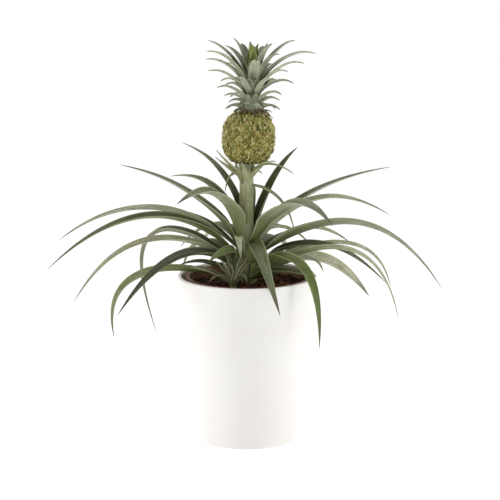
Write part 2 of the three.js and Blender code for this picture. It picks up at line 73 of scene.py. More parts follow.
# The rosette's leaves, from the lowest on the stem to the highest: azimuth, the point half-way along as
# (distance from the stem's axis, height), the tip as (azimuth, distance, height), greatest width, the
# degrees that it is twisted (a positive twist lifts its edge on the side of larger azimuths), and a tone,
# which only this script has.
LEAVES = [
    (41, (99, 160), (42, 178, 109), 19, -38, "pale"),
    (204, (112, 167), (206, 137, 110), 10, 74, "green"),
    (326, (43, 166), (333, 76, 165), 14, 10, "green"),
    (95, (70, 172), (97, 120, 126), 13, 0, "green"),
    (20, (58, 172), (19, 81, 156), 9, -36, "silver"),
    (186, (42, 172), (186, 67, 170), 8, -10, "dark"),
    (338, (106, 190), (338, 153, 129), 9, -32, "silver"),
    (68, (76, 182), (64, 132, 134), 12, 10, "silver"),
    (214, (76, 185), (213, 142, 136), 13, -28, "dark"),
    (12, (102, 186), (10, 146, 141), 8, -30, "silver"),
    (128, (72, 180), (124, 122, 142), 12, -8, "dark"),
    (350, (72, 191), (350, 137, 155), 10, 26, "silver"),
    (82, (66, 190), (84, 128, 154), 13, 5, "green"),
    (155, (106, 189), (152, 104, 86), 11, -10, "pale"),
    (200, (102, 198), (200, 172, 144), 9, -30, "hoar_and_painted_light"),
    (318, (73, 172), (321, 88, 98), 12, 22, "bright"),
    (34, (69, 198), (32, 126, 178), 10, -33, "pale"),
    (236, (28, 188), (230, 57, 180), 13, -30, "bright"),
    (112, (66, 196), (114, 126, 164), 13, 8, "silver"),
    (349, (110, 212), (350, 189, 152), 15, -16, "silver"),
    (248, (20, 200), (262, 34, 178), 9, -5, "hoar_and_painted_light"),
    (190, (98, 218), (190, 193, 170), 13, -16, "green"),
    (58, (56, 198), (54, 114, 172), 13, 5, "green"),
    (129, (54, 200), (131, 106, 171), 12, -8, "silver"),
    (21, (66, 234), (19, 153, 259), 11, 6, "frost"),
    (164, (101, 220), (164, 199, 183), 12, 26, "silver"),
    (92, (44, 208), (88, 100, 190), 13, 0, "dark"),
    (290, (36, 188), (290, 91, 138), 15, 20, "green"),
    (356, (70, 234), (355, 138, 220), 10, 19, "hoar_and_painted_light"),
    (183, (54, 239), (182, 122, 268), 11, -14, "frost"),
    (323, (55, 232), (321, 102, 218), 18, 12, "frost"),
    (145, (42, 241), (149, 89, 250), 12, -9, "pale"),
    (84, (34, 232), (88, 78, 240), 12, 8, "green"),
    (219, (38, 240), (217, 81, 236), 20, -12, "silver"),
    (30, (31, 250), (30, 58, 281), 11, 12, "green"),
    (138, (28, 252), (140, 85, 283), 9, -12, "silver"),
]

# The crown's leaves, from the lowest to the highest: azimuth, tip distance, tip height, how far the middle
# is bowed up above a straight line from root to tip, and greatest width, from the crown's own foot.
CROWN_LEAVES = [
    (345, 28, 4, 5, 7), (200, 27, 4, 4, 7), (75, 26, 3, 4, 7), (300, 22, 4, 5, 7), (160, 25, 3, 4, 7),
    (30, 27, 3, 4, 7), (235, 23, 4, 5, 7), (120, 27, 3, 4, 7), (10, 27, 12, 5, 8), (170, 23, 9, 4, 8),
    (268, 17, 14, 6, 11), (60, 28, 12, 5, 8), (330, 32, 19, 6, 8), (190, 27, 16, 4, 8), (100, 28, 12, 5, 8),
    (205, 37, 24, 6, 8), (140, 28, 13, 5, 8), (25, 27, 30, 7, 9), (165, 28, 24, 8, 9), (82, 34, 28, 7, 9),
    (312, 30, 33, 7, 8), (236, 30, 33, 7, 8), (350, 40, 29, 8, 9), (118, 34, 28, 7, 9), (272, 18, 29, 8, 12),
    (45, 36, 28, 7, 9), (188, 43, 39, 7, 9), (150, 36, 28, 7, 9), (20, 36, 39, 8, 9), (355, 49, 48, 10, 9),
    (98, 42, 44, 8, 9), (172, 46, 49, 9, 9), (280, 21, 50, 8, 12), (60, 44, 44, 8, 9), (192, 45, 57, 10, 10),
    (130, 44, 44, 8, 9), (5, 60, 57, 12, 10), (335, 27, 56, 9, 9), (75, 40, 62, 8, 9), (182, 43, 67, 8, 10),
    (110, 36, 64, 8, 9), (18, 42, 69, 9, 9), (140, 36, 62, 7, 9), (330, 20, 66, 6, 12), (165, 20, 70, 6, 8),
    (25, 15, 66, 4, 8),
]

# Leaves of the fruit stalk: azimuth, root height, (mid distance, mid height),
# (tip azimuth, tip distance, tip height), width.
STALK_LEAVES = [
    (268, 204, (9, 234), (262, 10.6, 262), 9), (342, 248, (33, 235), (344, 48, 204), 6),
    (236, 257, (27, 269), (232, 46, 286), 5), (186, 258, (15, 257), (184, 21, 241), 5),
    (352, 262, (24, 268), (352, 46, 259), 5), (322, 260, (22, 270), (322, 35, 273), 5),
    (95, 228, (20, 244), (100, 36, 236), 6), (116, 246, (18, 256), (112, 38, 252), 6),
    (62, 250, (18, 258), (66, 38, 254), 6),
]

# The offset shoot in front of the stem, and its leaves: azimuth, (mid distance, mid height),
# (tip azimuth, tip distance, tip height), width, from the shoot's own axis and the soil's height there.
SHOOT = Sizes(x=-13, y=-26, radius=3.6, foot_radius=2.9, top_radius=2.5, foot=140, top=158, ground=151)
SHOOT_ROOTS = Sizes(distance=1.4, end_room=1)
SHOOT_LEAVES = [
    (330, (9, 14), (322, 18, 8), 6), (206, (13, 14), (212, 27, 9), 6),
    (182, (20, 18), (183, 43, 22), 6), (194, (22, 17), (192, 46, 24), 6),
    (212, (7, 19), (214, 14, 31), 6), (176, (9, 18), (182, 17, 28), 5),
    (20, (8, 19), (20, 15, 31), 6), (80, (5, 18), (80, 14, 29), 6),
]

# -------- small forms that only this script has

# Degrees that each half of a rosette leaf is turned up at shares of its length, its width as a share of
# the greatest, and the shares of the length between which its twist builds up.
LEAF_FOLD = Sizes(shares=(0, 0.07, 0.16, 0.5, 1), degrees=(0, 32, 44, 36, 24))
LEAF_TAPER = Sizes(root=0.66, full=0.22, power=2.7)
LEAF_TWIST = (0.05, 0.5)
FLATTER_LEAVES = {18: 0.7, 21: 0.6, 28: 0.4}  # leaves that open out more, with their share of that fold
FOLD_ROUNDNESS = 1.5  # 1 is a sharp V, 2 is a round channel
MARGIN_THINNING = 0.55  # share of the thickness that is lost towards both margins
SHEATH = Sizes(length=15, rings=8, spread=1.35)  # a leaf's broad foot, down the stem under lower leaves

# Each kind of blade: its fold in degrees, thickness at the root and the tip, rings of points, and how far it
# strays sideways.
LEAF_BLADE = {"rings": 64, "wave": 0.5, "sheath": SHEATH.length}
STALK_BLADE = {"fold": 28, "thickness": (1, 0.6), "rings": 30}
SHOOT_BLADE = {"fold": 30, "thickness": (0.9, 0.6), "rings": 32}
STRAP_BLADE = {"fold": 30, "rings": 26, "wave": 0.4}
CROWN_BLADE = {"fold": 26, "thickness": (0.9, 0.5), "rings": 26, "wave": 0.3}
DRY_BLADE = {"fold": 26, "thickness": (0.5, 0.3), "rings": 14, "wave": 0.6}
HEART_BLADE = {"fold": 26, "rings": 28}
FRUIT_BLADE = {"thickness": (0.45, 0.25), "rings": 7, "lanes": 4}
STALK_ROOT_DEPTH = 2  # how deep the stalk's leaves and bracts start inside it

# Small bracts that cup the fruit's foot, with the columns of the stalk's leaves.
FOOT_BRACTS = [
    (208, 255, (16, 262), (205, 33, 277), 5), (238, 249, (13.5, 258), (238, 21, 274), 8),
    (266, 249, (13, 258), (254, 20, 274), 8), (300, 252, (14, 260), (306, 25, 268), 5),
    (40, 252, (14, 260), (36, 26, 270), 6), (100, 250, (13, 258), (96, 24, 269), 6),
    (155, 252, (14, 260), (158, 27, 270), 6),
]

# Thin upright straps in the middle of the shoot: azimuth, distances of the middle and the tip, and height.
SHOOT_STRAPS = [
    (195, 3, 7, 33), (350, 4, 9, 35), (250, 3, 6, 27), (30, 5, 12, 30), (140, 3, 5, 36), (320, 6, 12, 26),
    (215, 5, 12, 25), (5, 7, 15, 24), (280, 4, 7, 22),
]
STRAP = Sizes(root_distance=1.8, root_depth=1, middle=0.55, width=(3.6, 5.2), twist=25)

# Dry bracts under the crown. A pair is a range, and a scatter is the most to either side.
DRY_BRACTS = Sizes(
    count=34, turn=137.5, scatter=12, tip_scatter=14, distance=(13, 22), height=(-6, 2.5), root_depth=1.5,
    root_height=(0, 1.5), bow=(1.2, 3), width=(3, 5),
)

# Bumps on the soil's top: how many there are in a millimetre, their height, and a place in the noise.
SOIL_BUMPS = [(0.16, 1.1, 3), (0.6, 0.9, 7), (1.5, 0.4, 1)]
SOIL_RINGS, SOIL_SIDES = 70, 200
SOIL_MARGIN = 3  # crumbs and fibres stay this far inside the nursery pot
CRUMBS = Sizes(count=1100, size=(0.6, 1.9), stretch=(0.6, 1.3), dents=(0.7, 1.2), lift=0.2)
FIBRES = Sizes(
    count=220, front_azimuth=(318, 17), front_distance=(30, 53), steps=9, step=(0.9, 2.2), turn=0.25,
    wander=0.18, lift=(0.5, 2.5), clearance=0.3, radius=(0.1, 0.28),
)

# -------- colours


def srgb(red, green, blue):
    """A colour given in 0 to 255 display values, as linear RGBA."""
    display = np.array((red, green, blue)) / 255
    linear = np.where(display <= 0.04045, display / 12.92, ((display + 0.055) / 1.055) ** 2.4)
    return (*map(float, linear), 1.0)


# Upper face and under face of a leaf of each tone, in display values. The hoar tone's pale upper face is
# partly silvery scurf and partly painted light, which lightens leaves whose faces lie in shade.
LEAF_TONES = {
    "dark": ((66, 78, 32), (118, 126, 82)), "green": ((84, 100, 36), (140, 148, 88)),
    "bright": ((114, 136, 44), (138, 156, 68)), "silver": ((99, 106, 64), (162, 165, 135)),
    "frost": ((138, 142, 114), (188, 190, 170)), "hoar_and_painted_light": ((184, 186, 158), (206, 206, 188)),
    "pale": ((104, 107, 68), (150, 147, 120)), "crown": ((106, 116, 90), (170, 176, 156)),
    "heart": ((120, 140, 36), (140, 158, 52)), "stalk": ((126, 131, 78), (176, 178, 122)),
    "shoot": ((98, 107, 56), (152, 150, 108)), "strap": ((74, 84, 42), (104, 112, 66)),
    "dry": ((118, 96, 72), (146, 122, 94)),
}
# How much scurf a rosette leaf of each tone has, and how much painted shade darkens its base.
LEAF_LOOKS = {
    "dark": (0.16, 0.5), "green": (0.35, 0.85), "bright": (0.22, 0.15), "silver": (0.8, 0.9),
    "frost": (0.9, 0.95), "hoar_and_painted_light": (0.9, 0.35), "pale": (0.35, 0.6),
}
SILVER_SCURF = srgb(204, 206, 186)
PALE_MARGIN = srgb(192, 192, 154)
DRY_TIP = srgb(102, 86, 70)
PALE_ROOT = srgb(142, 150, 84)
RUST = srgb(92, 70, 52)
# Linear tints that a leaf's colour is multiplied by: painted shade at its base, in its darker lines, and at
# tones 0 and 1.
BASE_SHADE_TINT = (0.44, 0.49, 0.24, 1)
DEEP_LINES = (0.38, 0.43, 0.24, 1)
LEAF_TINTS = ((0.8, 0.8, 0.78, 1), (1.16, 1.16, 1.12, 1))
PEAT_TINTS = ((0.55, 0.5, 0.48, 1), (1.5, 1.35, 1.25, 1))

# -------- shapes


class Shape:
    """Points in millimetres, faces, and what each point tells its material: three marks and a tone."""

    def __init__(self, points, faces, marks=None, tone=0.0):
        self.points = np.asarray(points, float)
        self.faces = [tuple(int(i) for i in face) for face in faces]
        self.marks = np.zeros_like(self.points) if marks is None else np.asarray(marks, float)
        self.tones = np.zeros(len(self.points)) + tone

    def moved(self, offset, lean=0.0):
        """The same shape leaned towards +X by some degrees about its own foot, and then moved."""
        cosine, sine = math.cos(math.radians(lean)), math.sin(math.radians(lean))
        turn = np.array([[cosine, 0, sine], [0, 1, 0], [-sine, 0, cosine]])
        return Shape(self.points @ turn.T + np.array(offset, float), self.faces, self.marks, self.tones)


def joined(shapes):
    """Several shapes as one."""
    starts = np.cumsum([0] + [len(shape.points) for shape in shapes])
    faces = [tuple(start + i for i in face) for start, shape in zip(starts, shapes) for face in shape.faces]
    points = np.concatenate([shape.points for shape in shapes])
    marks = np.concatenate([shape.marks for shape in shapes])
    return Shape(points, faces, marks, np.concatenate([shape.tones for shape in shapes]))


def new_object(name, data):
    made = bpy.data.objects.new(name, data)
    bpy.context.scene.collection.objects.link(made)
    return made


def piece(name, shape, material, slot, *nodes, sharp=50):
    """A shape as a Blender object that rides on the part and stands for the named CAD nodes."""
    mesh = bpy.data.meshes.new(name)
    mesh.from_pydata((shape.points * MM).tolist(), [], shape.faces)
    mesh.attributes.new("marks", "FLOAT_VECTOR", "POINT").data.foreach_set("vector", shape.marks.ravel())
    mesh.attributes.new("tone", "FLOAT", "POINT").data.foreach_set("value", shape.tones)
    mesh.shade_smooth()
    mesh.set_sharp_from_angle(angle=math.radians(sharp))
    mesh.materials.append(material)
    made = new_object(name, mesh)
    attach(made, "root")
    if nodes:
        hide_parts(*nodes)


def polar(azimuth, distance, height):
    """The point at a distance from the Z axis, on an azimuth, at a height."""
    angle = math.radians(azimuth)
    return np.array((distance * math.cos(angle), distance * math.sin(angle), height))


def lerp(a, b, t):
    """The value at a share t of the way from a to b."""
    return a + (b - a) * t


def smooth(low, high, x):
    """0 up to low, 1 from high on, and an even S-curve between them."""
    t = np.clip((x - low) / (high - low), 0, 1)
    return t * t * (3 - 2 * t)


def unit(vectors):
    return vectors / np.linalg.norm(vectors, axis=-1, keepdims=True)


def rounded(corners, steps=6):
    """The profile of (radius, height, fillet) corners, where a curve starts a fillet before each corner."""
    corners = [np.array(corner, float) for corner in corners]
    profile = []
    for i, (radius, height, fillet) in enumerate(corners):
        here = np.array((radius, height))
        if fillet == 0:
            profile.append(here)
            continue
        start = here + fillet * unit(corners[i - 1][:2] - here)
        end = here + fillet * unit(corners[i + 1][:2] - here)
        for t in np.linspace(0, 1, steps):
            profile.append((1 - t) ** 2 * start + 2 * t * (1 - t) * here + t * t * end)
    return profile


def ring_faces(rings, size, first=0):
    """Four-sided faces between rings of size points, which follow each other from the point first on."""
    faces = []
    for ring in range(rings - 1):
        for k in range(size):
            a, b = first + ring * size + k, first + ring * size + (k + 1) % size
            faces.append((a, b, b + size, a + size))
    return faces


def fan(start, size, centre, up=True):
    """Triangles from a ring of size points, which begins at start, to a point above it or below it."""
    ring = [(start + k, start + (k + 1) % size) for k in range(size)]
    return [(a, b, centre) if up else (centre, b, a) for a, b in ring]


def lathe(profile, sides, ripple=None):
    """A profile that starts and ends on the Z axis, turned about it. ripple(azimuths, height) adds radius."""
    azimuths = np.arange(sides) / sides * 2 * math.pi
    points = [(0, 0, profile[0][1])]
    for radius, height in profile[1:-1]:
        wide = radius + (0 if ripple is None else ripple(azimuths, height))
        ring = np.stack([wide * np.cos(azimuths), wide * np.sin(azimuths), np.full(sides, height)], axis=1)
        points.extend(ring)
    points.append((0, 0, profile[-1][1]))
    rings = len(profile) - 2
    faces = fan(1, sides, 0, up=False) + ring_faces(rings, sides, 1)
    faces += fan(1 + (rings - 1) * sides, sides, len(points) - 1)
    return Shape(points, faces, tone=0.5)


def leaf_taper(t):
    """The share of its greatest width that a leaf has at t, from root to tip."""
    return lerp(LEAF_TAPER.root, 1, smooth(0, LEAF_TAPER.full, t)) * (1 - t ** LEAF_TAPER.power)


def leaf_fold(root_fold, share):
    """How far a rosette leaf's halves are turned up, as a function of the share of its length."""
    degrees = (root_fold, *(share * fold for fold in LEAF_FOLD.degrees[1:]))
    return lambda t: np.interp(t, LEAF_FOLD.shares, degrees)


def blade_spine(root, mid, tip, rings, sheath):
    """Shares of the length and points of the middle line from the root up to, but without, the tip."""
    t = np.linspace(0, 1, rings + 1)[:-1, None]
    control = 2 * mid - (root + tip) / 2
    centre = (1 - t) ** 2 * root + 2 * t * (1 - t) * control + t**2 * tip
    if sheath:
        below = np.linspace(sheath, 0, SHEATH.rings + 1)[:-1, None]
        centre = np.concatenate([root - below * (0, 0, 1), centre])
        t = np.concatenate([np.zeros((SHEATH.rings, 1)), t])
    return t, centre


def blade(
    root, mid, tip, sides, width, fold, twist=0, *, thickness=(0.9, 0.35), rings=48, lanes=8, wave=0, sheath=0
):
    """A channelled blade along a parabola from root to tip through mid. sides are the azimuths that its root
    and its tip head for, fold is in degrees or a function of the length's share, wave is how far it strays
    sideways, and sheath is how far its broad foot reaches down below its root. Its marks are across (-1 to
    1), along (0 to 1), and 1 on its upper face or 0 under it."""
    t, centre = blade_spine(root, mid, tip, rings, sheath)
    rings = len(t)
    along = unit(np.gradient(np.concatenate([centre, [tip]]), axis=0)[:-1])
    heading = np.radians(lerp(sides[0], sides[1], t[:, 0]))
    level = np.stack([-np.sin(heading), np.cos(heading), np.zeros(rings)], axis=1)
    level = unit(level - np.sum(level * along, axis=1, keepdims=True) * along)
    turn = math.radians(twist) * smooth(*LEAF_TWIST, t)
    across = level * np.cos(turn) + np.cross(along, level) * np.sin(turn)
    up = np.cross(along, across)
    phase = RNG.uniform(0, 2 * math.pi, 2)
    stray = wave * 4 * t * (1 - t)
    centre = centre + stray * (np.sin(7 * t + phase[0]) * across + 0.6 * np.sin(9 * t + phase[1]) * up)

    lane = np.linspace(1, -1, lanes + 1)
    half = width / 2 * leaf_taper(t)
    if sheath:
        half[: SHEATH.rings] *= lerp(SHEATH.spread, 1, np.linspace(0, 1, SHEATH.rings))[:, None]
    rise = half * np.tan(np.radians(fold(t) if callable(fold) else fold))
    thick = lerp(thickness[0], thickness[1], t)
    upper = centre[:, None] + across[:, None] * (half * lane)[..., None]
    upper = upper + up[:, None] * (rise * np.abs(lane) ** FOLD_ROUNDNESS)[..., None]
    lower = upper - up[:, None] * (thick * (1 - MARGIN_THINNING * lane**2))[..., None]
    points = np.concatenate([upper, lower[:, ::-1]], axis=1).reshape(-1, 3)

    ring = 2 * (lanes + 1)
    is_upper = np.concatenate([np.ones(lanes + 1), np.zeros(lanes + 1)])
    marks = [np.tile([*lane, *lane[::-1]], rings), np.repeat(t[:, 0], ring), np.tile(is_upper, rings)]
    marks = np.concatenate([np.stack(marks, axis=1), [(0, 1, 0.5)]])
    points = np.concatenate([points, [tip]])
    faces = ring_faces(rings, ring) + fan((rings - 1) * ring, ring, rings * ring)
    faces.append(tuple(range(ring - 1, -1, -1)))
    return Shape(points, faces, marks, RNG.uniform(0, 1))


def polar_blade(root, mid, tip, *settings, **form):
    """A blade whose root, middle and tip are given as azimuth, distance and height."""
    return blade(polar(*root), polar(*mid), polar(*tip), (root[0], tip[0]), *settings, **form)


# -------- node helpers

GRAIN_LIMITS = (0.3, 0.7)  # nearly all values of a noise lie between these


def start_material(name):
    """A new material, its node tree and its shader."""
    material = bpy.data.materials.new(name)
    material.use_nodes = True
    tree = material.node_tree
    return material, tree, tree.nodes["Principled BSDF"]


def node(kind, inputs, output=0, tree=None, **settings):
    """One output of a new node, whose inputs are values or sockets. Without a socket it needs its tree."""
    sockets = {name: value for name, value in inputs.items() if isinstance(value, bpy.types.NodeSocket)}
    tree = tree or list(sockets.values())[0].id_data
    made = tree.nodes.new(kind)
    for name, value in settings.items():
        setattr(made, name, value)
    for name, value in inputs.items():
        if name in sockets:
            tree.links.new(value, made.inputs[name])
        else:
            made.inputs[name].default_value = value
    return made.outputs[output]


def maths(operation, a, b=0):
    return node("ShaderNodeMath", {0: a, 1: b}, operation=operation)


def times(a, b):
    return maths("MULTIPLY", a, b)


def plus(a, b):
    return maths("ADD", a, b)


def ranged(value, low, high, to_low=0, to_high=1):
    """value eased from to_low at low to to_high at high."""
    inputs = {0: value, 1: low, 2: high, 3: to_low, 4: to_high}
    return node("ShaderNodeMapRange", inputs, interpolation_type="SMOOTHSTEP")


def mixed(factor, a, b, blend="MIX"):
    """Colour a at factor 0, and colour b, or a blended with b, at factor 1."""
    inputs = {0: factor, 6: a, 7: b}
    return node("ShaderNodeMix", inputs, output=2, data_type="RGBA", blend_type=blend)


def layered(colour, *layers):
    """A colour under others. A layer is a source, limits as for ranged, and its colour."""
    for source, *limits, over in layers:
        colour = mixed(ranged(source, *limits), colour, over)
    return colour


def noisy(vector, scale, detail=2, roughness=0.5):
    inputs = {"Vector": vector, "Scale": scale, "Detail": detail, "Roughness": roughness}
    return node("ShaderNodeTexNoise", inputs)


def position(tree):
    """The place on the object in metres."""
    return node("ShaderNodeTexCoord", {}, 3, tree)


def parts_of(vector):
    """The X, Y and Z of a vector."""
    return tuple(node("ShaderNodeSeparateXYZ", {0: vector}).node.outputs)


def marks_of(tree):
    """The three marks and the tone that each point carries."""
    vector = node("ShaderNodeAttribute", {}, 1, tree, attribute_name="marks")
    tone = node("ShaderNodeAttribute", {}, 2, tree, attribute_name="tone")
    return *parts_of(vector), tone


def vector_of(x, y, z):
    return node("ShaderNodeCombineXYZ", {0: x, 1: y, 2: z})


def surface(shader, colour, grain, roughness, bumps=None, strength=0, depth=0):
    """Gives the shader a colour, a roughness that follows grain, and bumps that are depth metres deep."""
    links = shader.id_data.links
    links.new(colour, shader.inputs["Base Color"])
    links.new(ranged(grain, *GRAIN_LIMITS, *roughness), shader.inputs["Roughness"])
    if bumps is not None:
        inputs = {"Strength": strength, "Distance": depth, "Height": bumps}
        links.new(node("ShaderNodeBump", inputs), shader.inputs["Normal"])


# -------- materials


def leaf_material(name, tone_name, scurf=0.45, base=0, margin=0.5, rim=0.84):
    """Darker and silvery lines along the leaf, a silvery scurf that lies mostly under it and towards its end,
    rusty patches on top, painted shade that darkens its base by a share, a pale margin from rim outwards,
    a pale root and a dry tip."""
    upper, under = (srgb(*colour) for colour in LEAF_TONES[tone_name])
    material, tree, shader = start_material(name)
    across, along, is_upper, tone = marks_of(tree)
    seed = times(tone, 40)
    lines = noisy(vector_of(times(across, 7), along, seed), 1.6, 3)
    fine = noisy(vector_of(times(across, 26), along, seed), 1.5, 2)
    blotches = noisy(vector_of(across, times(along, 6), seed), 1.3, 4, 0.6)
    grains = noisy(position(tree), 700, 3, 0.6)

    colour = mixed(is_upper, under, upper)
    deeper = mixed(1, colour, DEEP_LINES, "MULTIPLY")
    colour = mixed(ranged(lines, 0.34, 0.68), colour, deeper)
    colour = mixed(ranged(fine, 0.45, 0.7, 0, 0.3), colour, SILVER_SCURF)

    patchy = ranged(plus(times(grains, 0.6), blotches), 0.6, 1.15)
    below = ranged(is_upper, 0, 1, scurf, 0.5 * scurf)
    ending = ranged(along, 0.25, 0.9, 0.6, 1.8)
    scurfy = times(patchy, times(below, ending))
    colour = mixed(scurfy, colour, SILVER_SCURF)

    # Painted shade: the leaf darkens from half-way along down to its base, where the leaves crowd round the
    # stem.
    deep = mixed(1, colour, BASE_SHADE_TINT, "MULTIPLY")
    colour = mixed(ranged(along, 0.6, 0.08, 0, base), colour, deep)
    rusty = ranged(plus(blotches, times(tone, 0.12)), 0.56, 0.72, 0, 0.35)
    colour = mixed(times(rusty, is_upper), colour, RUST)
    varied = mixed(ranged(tone, 0, 1), *LEAF_TINTS)
    colour = mixed(1, colour, varied, "MULTIPLY")

    colour = layered(
        colour,
        (maths("ABSOLUTE", across), rim, 0.98, 0, margin, PALE_MARGIN),
        (along, 0.08, 0, 0, 0.6, PALE_ROOT),
        (along, 0.8, 0.99, 0, 0.8, DRY_TIP),
    )
    relief = plus(fine, times(lines, 1.5))
    surface(shader, colour, fine, (0.34, 0.56), relief, 0.5, 0.5 * MM)
    shader.inputs["Specular IOR Level"].default_value = 0.4
    return material


def glaze_material():
    """White glaze with a faint cloudiness, and tiny specks of bare clay where it breaks."""
    material, tree, shader = start_material("white_glaze")
    place = position(tree)
    cloud = noisy(place, 9, 4, 0.6)
    specks = noisy(place, 260, 2)
    waves = noisy(place, 22, 1)
    colour = mixed(ranged(cloud, 0.3, 0.7), srgb(248, 246, 243), srgb(244, 240, 236))
    colour = mixed(ranged(specks, 0.74, 0.8, 0, 0.25), colour, srgb(190, 176, 160))
    surface(shader, colour, cloud, (0.16, 0.24), waves, 0.06, MM)
    shader.inputs["Coat Weight"].default_value = 0.4
    shader.inputs["Coat Roughness"].default_value = 0.1
    return material


def plastic_material():
    """Reddish brown thin plastic with fine turning lines, scuffs and peat dust."""
    material, tree, shader = start_material("brown_plastic")
    place = position(tree)
    height = parts_of(place)[2]
    turning = noisy(vector_of(0, 0, height), 900, 1)
    dust = noisy(place, 60, 5, 0.65)
    colour = mixed(ranged(dust, 0.4, 0.7), srgb(134, 86, 66), srgb(88, 56, 42))
    surface(shader, colour, dust, (0.5, 0.8), turning, 0.3, 0.3 * MM)
    return material


def peat_material(name, dark, light):
    """Damp peat in mottled browns."""
    material, tree, shader = start_material(name)
    *_, tone = marks_of(tree)
    place = position(tree)
    lumps = noisy(place, 260, 5, 0.7)
    crumbs = noisy(place, 1300, 3, 0.6)
    colour = mixed(ranged(lumps, 0.4, 0.62), dark, light)
    colour = mixed(ranged(crumbs, 0.55, 0.75, 0, 0.5), colour, srgb(112, 70, 46))
    colour = mixed(1, colour, mixed(tone, *PEAT_TINTS), "MULTIPLY")
    surface(shader, colour, crumbs, (0.75, 0.98), plus(lumps, crumbs), 0.8, 1.2 * MM)
    return material


def fruit_material():
    """Rough yellow-olive skin with orange flushes and pale flecks, and painted shade between the fruitlets.
    """
    material, tree, shader = start_material("fruit_skin")
    away, _, middle, tone = marks_of(tree)
    place = position(tree)
    flush = noisy(place, 80, 3)
    mottle = noisy(place, 520, 5, 0.75)
    flecks = noisy(place, 1100, 3, 0.7)
    colour = mixed(ranged(tone, 0.1, 0.9), srgb(140, 141, 54), srgb(188, 180, 96))
    colour = layered(
        colour,
        (flush, 0.56, 0.74, 0, 0.45, srgb(186, 128, 66)),
        (mottle, 0.48, 0.66, 0, 0.75, srgb(82, 84, 32)),
        (mottle, 0.44, 0.32, 0, 0.55, srgb(208, 200, 138)),
        (flecks, 0.58, 0.68, 0, 0.6, srgb(214, 204, 156)),
        (middle, 0, 1, 0, 0.3, srgb(124, 100, 52)),
        # Painted shade in the creases between the fruitlets.
        (away, 0.78, 1, 0, 0.4, srgb(78, 76, 32)),
    )
    surface(shader, colour, mottle, (0.45, 0.75), plus(mottle, flecks), 0.9, 0.8 * MM)
    return material


def fibre_material():
    """Orange-brown coco fibre and pale dry rootlets, by tone."""
    material, tree, shader = start_material("fibre")
    *_, tone = marks_of(tree)
    specks = noisy(position(tree), 500, 3)
    colour = mixed(ranged(tone, 0.2, 0.9), srgb(166, 84, 50), srgb(198, 168, 126))
    colour = mixed(ranged(specks, 0.45, 0.65, 0, 0.6), colour, srgb(84, 48, 32))
    surface(shader, colour, specks, (0.6, 0.9))
    return material


# -------- pots


def cover_pot():
    pot = COVER_POT
    inner_base = lerp(pot.base_radius, pot.rim_radius, pot.floor / pot.height) - pot.wall
    outside = [(0, 0, 0), (pot.base_radius, 0, 2.2), (pot.rim_radius, pot.height, 1.7)]
    inside = [(pot.rim_radius - pot.wall, pot.height, 1.7), (inner_base, pot.floor, 6), (0, pot.floor, 0)]
    profile = rounded(outside + inside)
    piece("pot_cover", lathe(profile, 160), glaze_material(), "glazed_white", "cover_pot", sharp=60)


def nursery_radius(z):
    """The nursery pot's outer radius at a height, below its lip."""
    bottom = COVER_POT.floor + GAP
    low, high = NURSERY_POT.base_radius, NURSERY_POT.rim_radius - NURSERY_POT.lip_width
    return lerp(low, high, (z - bottom) / (NURSERY_POT.top - bottom))


def nursery_pot():
    pot = NURSERY_POT
    bottom = COVER_POT.floor + GAP
    lip_foot = pot.top - pot.lip_height
    at_lip = nursery_radius(lip_foot)
    floor_top = bottom + pot.wall
    inner_rim = pot.rim_radius - pot.lip_width - pot.wall
    outside = [(0, bottom, 0), (nursery_radius(bottom), bottom, 1.5), (at_lip, lip_foot, 0.3)]
    lip = [(at_lip + pot.lip_width, lip_foot, 0.4), (pot.rim_radius, pot.top, 0.8), (inner_rim, pot.top, 0.8)]
    inside = [(nursery_radius(floor_top) - pot.wall, floor_top, 1), (0, floor_top, 0)]
    profile = rounded(outside + lip + inside, steps=4)
    shape = lathe(profile, 120).moved(NURSERY_SHIFT)
    piece("pot_nursery", shape, plastic_material(), "brown_plastic", "nursery_pot")


# -------- soil


def soil_height(x, y):
    """The height of the soil's top, with x and y from the nursery pot's own axis."""
    distance = math.hypot(x, y) / NURSERY_POT.rim_radius
    lumps = math.sin(x * 0.31 + 1) * math.cos(y * 0.27) + 0.6 * math.sin(x * 0.13 - y * 0.44)
    return lerp(SOIL.mound_height, SOIL.edge_height, distance) + SOIL.lump * lumps


def bumpy_height(x, y):
    """The soil's height with bumps of several sizes on it."""
    height = soil_height(x, y)
    for density, rise, layer in SOIL_BUMPS:
        height += rise * noise.noise(Vector((x * density, y * density, layer)))
    return height


def soil_block():
    """The peat: a finely lumped top, and plain sides and floor down inside the nursery pot."""
    wall, edge_height, mound_height = NURSERY_POT.wall, SOIL.edge_height, SOIL.mound_height
    bottom = COVER_POT.floor + GAP + wall + GAP
    foot_radius = nursery_radius(bottom) - wall - GAP
    top_radius = nursery_radius(edge_height) - wall - GAP
    top = [(top_radius * (1 - ring / SOIL_RINGS), mound_height) for ring in range(SOIL_RINGS)]
    shape = lathe([(0, bottom), (foot_radius, bottom), *top, (0, mound_height)], SOIL_SIDES)
    for point in shape.points:
        if point[2] > edge_height:
            point[2] = bumpy_height(point[0], point[1])
    shape.tones[:] = 0.4
    material = peat_material("peat", srgb(28, 18, 12), srgb(84, 50, 31))
    piece("soil_peat", shape.moved(NURSERY_SHIFT), material, "peat", "soil", sharp=180)


